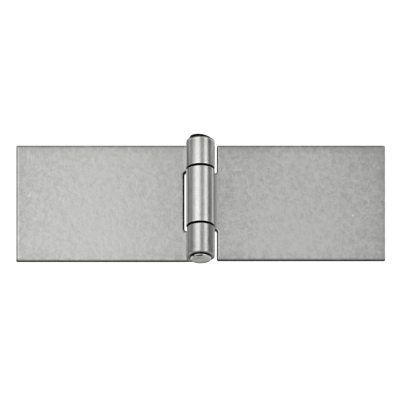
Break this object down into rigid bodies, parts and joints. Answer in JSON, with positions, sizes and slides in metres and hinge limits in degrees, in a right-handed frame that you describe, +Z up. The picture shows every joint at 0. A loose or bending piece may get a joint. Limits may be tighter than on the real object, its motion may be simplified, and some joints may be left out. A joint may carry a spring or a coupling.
{
  "type": "table hinge",
  "caption": "Flat rolled-steel table hinge: two blank leaves with interleaved knuckles that fold about a pin with upset heads.",
  "frame": {"origin": "on the plane of the leaves' undersides, under the middle of the pin", "axes": "+X across the open hinge, from the outer leaf to the inner leaf; +Y along the pin; +Z up, from the leaves' undersides to the top of the barrel"},
  "size_m": [0.1172, 0.0428, 0.009],
  "materials": {
    "leaf_steel": "satin, cold-rolled sheet with a fine grain and light handling scratches",
    "pin_steel": "satin drawn wire with upset ends"
  },
  "bodies": {
    "outer": {"outer_leaf": "leaf_steel", "hinge_pin": "pin_steel"},
    "inner": {"inner_leaf": "leaf_steel"}
  },
  "joints": [
    {"name": "fold", "type": "hinge", "parent": "outer", "child": "inner", "pos_m": [0, 0, 0.0045], "axis": [0, -1, 0], "range_deg": [-96, 185]}
  ]
}
